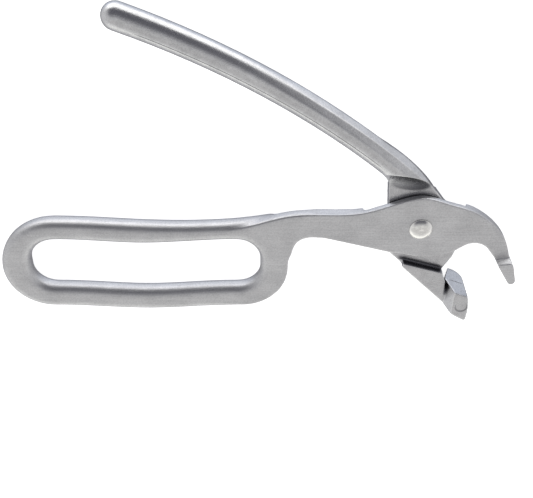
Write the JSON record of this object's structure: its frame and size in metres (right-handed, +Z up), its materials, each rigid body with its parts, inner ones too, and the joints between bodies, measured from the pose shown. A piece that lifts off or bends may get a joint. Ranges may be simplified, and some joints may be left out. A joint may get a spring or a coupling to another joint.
{
  "type": "pan gripper",
  "caption": "Cast aluminium hot pan gripper: a finger loop lever with a hook jaw and a curved rod lever with a wide lower jaw, crossing at a rivet.",
  "frame": {"origin": "middle of the tool's outline, seen from above, on the table it lies on", "axes": "+X from the finger loop to the jaws, +Y from the loop lever to the grip rod, +Z up, along the rivet"},
  "size_m": [0.2112, 0.1348, 0.0176],
  "materials": {
    "front_casting": "satin cast",
    "rear_casting": "satin cast",
    "rivet": "polished nickel",
    "washer": "brushed"
  },
  "bodies": {
    "front_lever": {"loop_lever": "front_casting", "pivot_rivet": "rivet", "rivet_washer": "washer"},
    "rear_lever": {"grip_lever": "rear_casting"}
  },
  "joints": [
    {"name": "grip_pivot", "type": "hinge", "parent": "front_lever", "child": "rear_lever", "pos_m": [0.0648, -0.02361, 0.0088], "axis": [0, 0, 1], "range_deg": [-32, 25]}
  ]
}
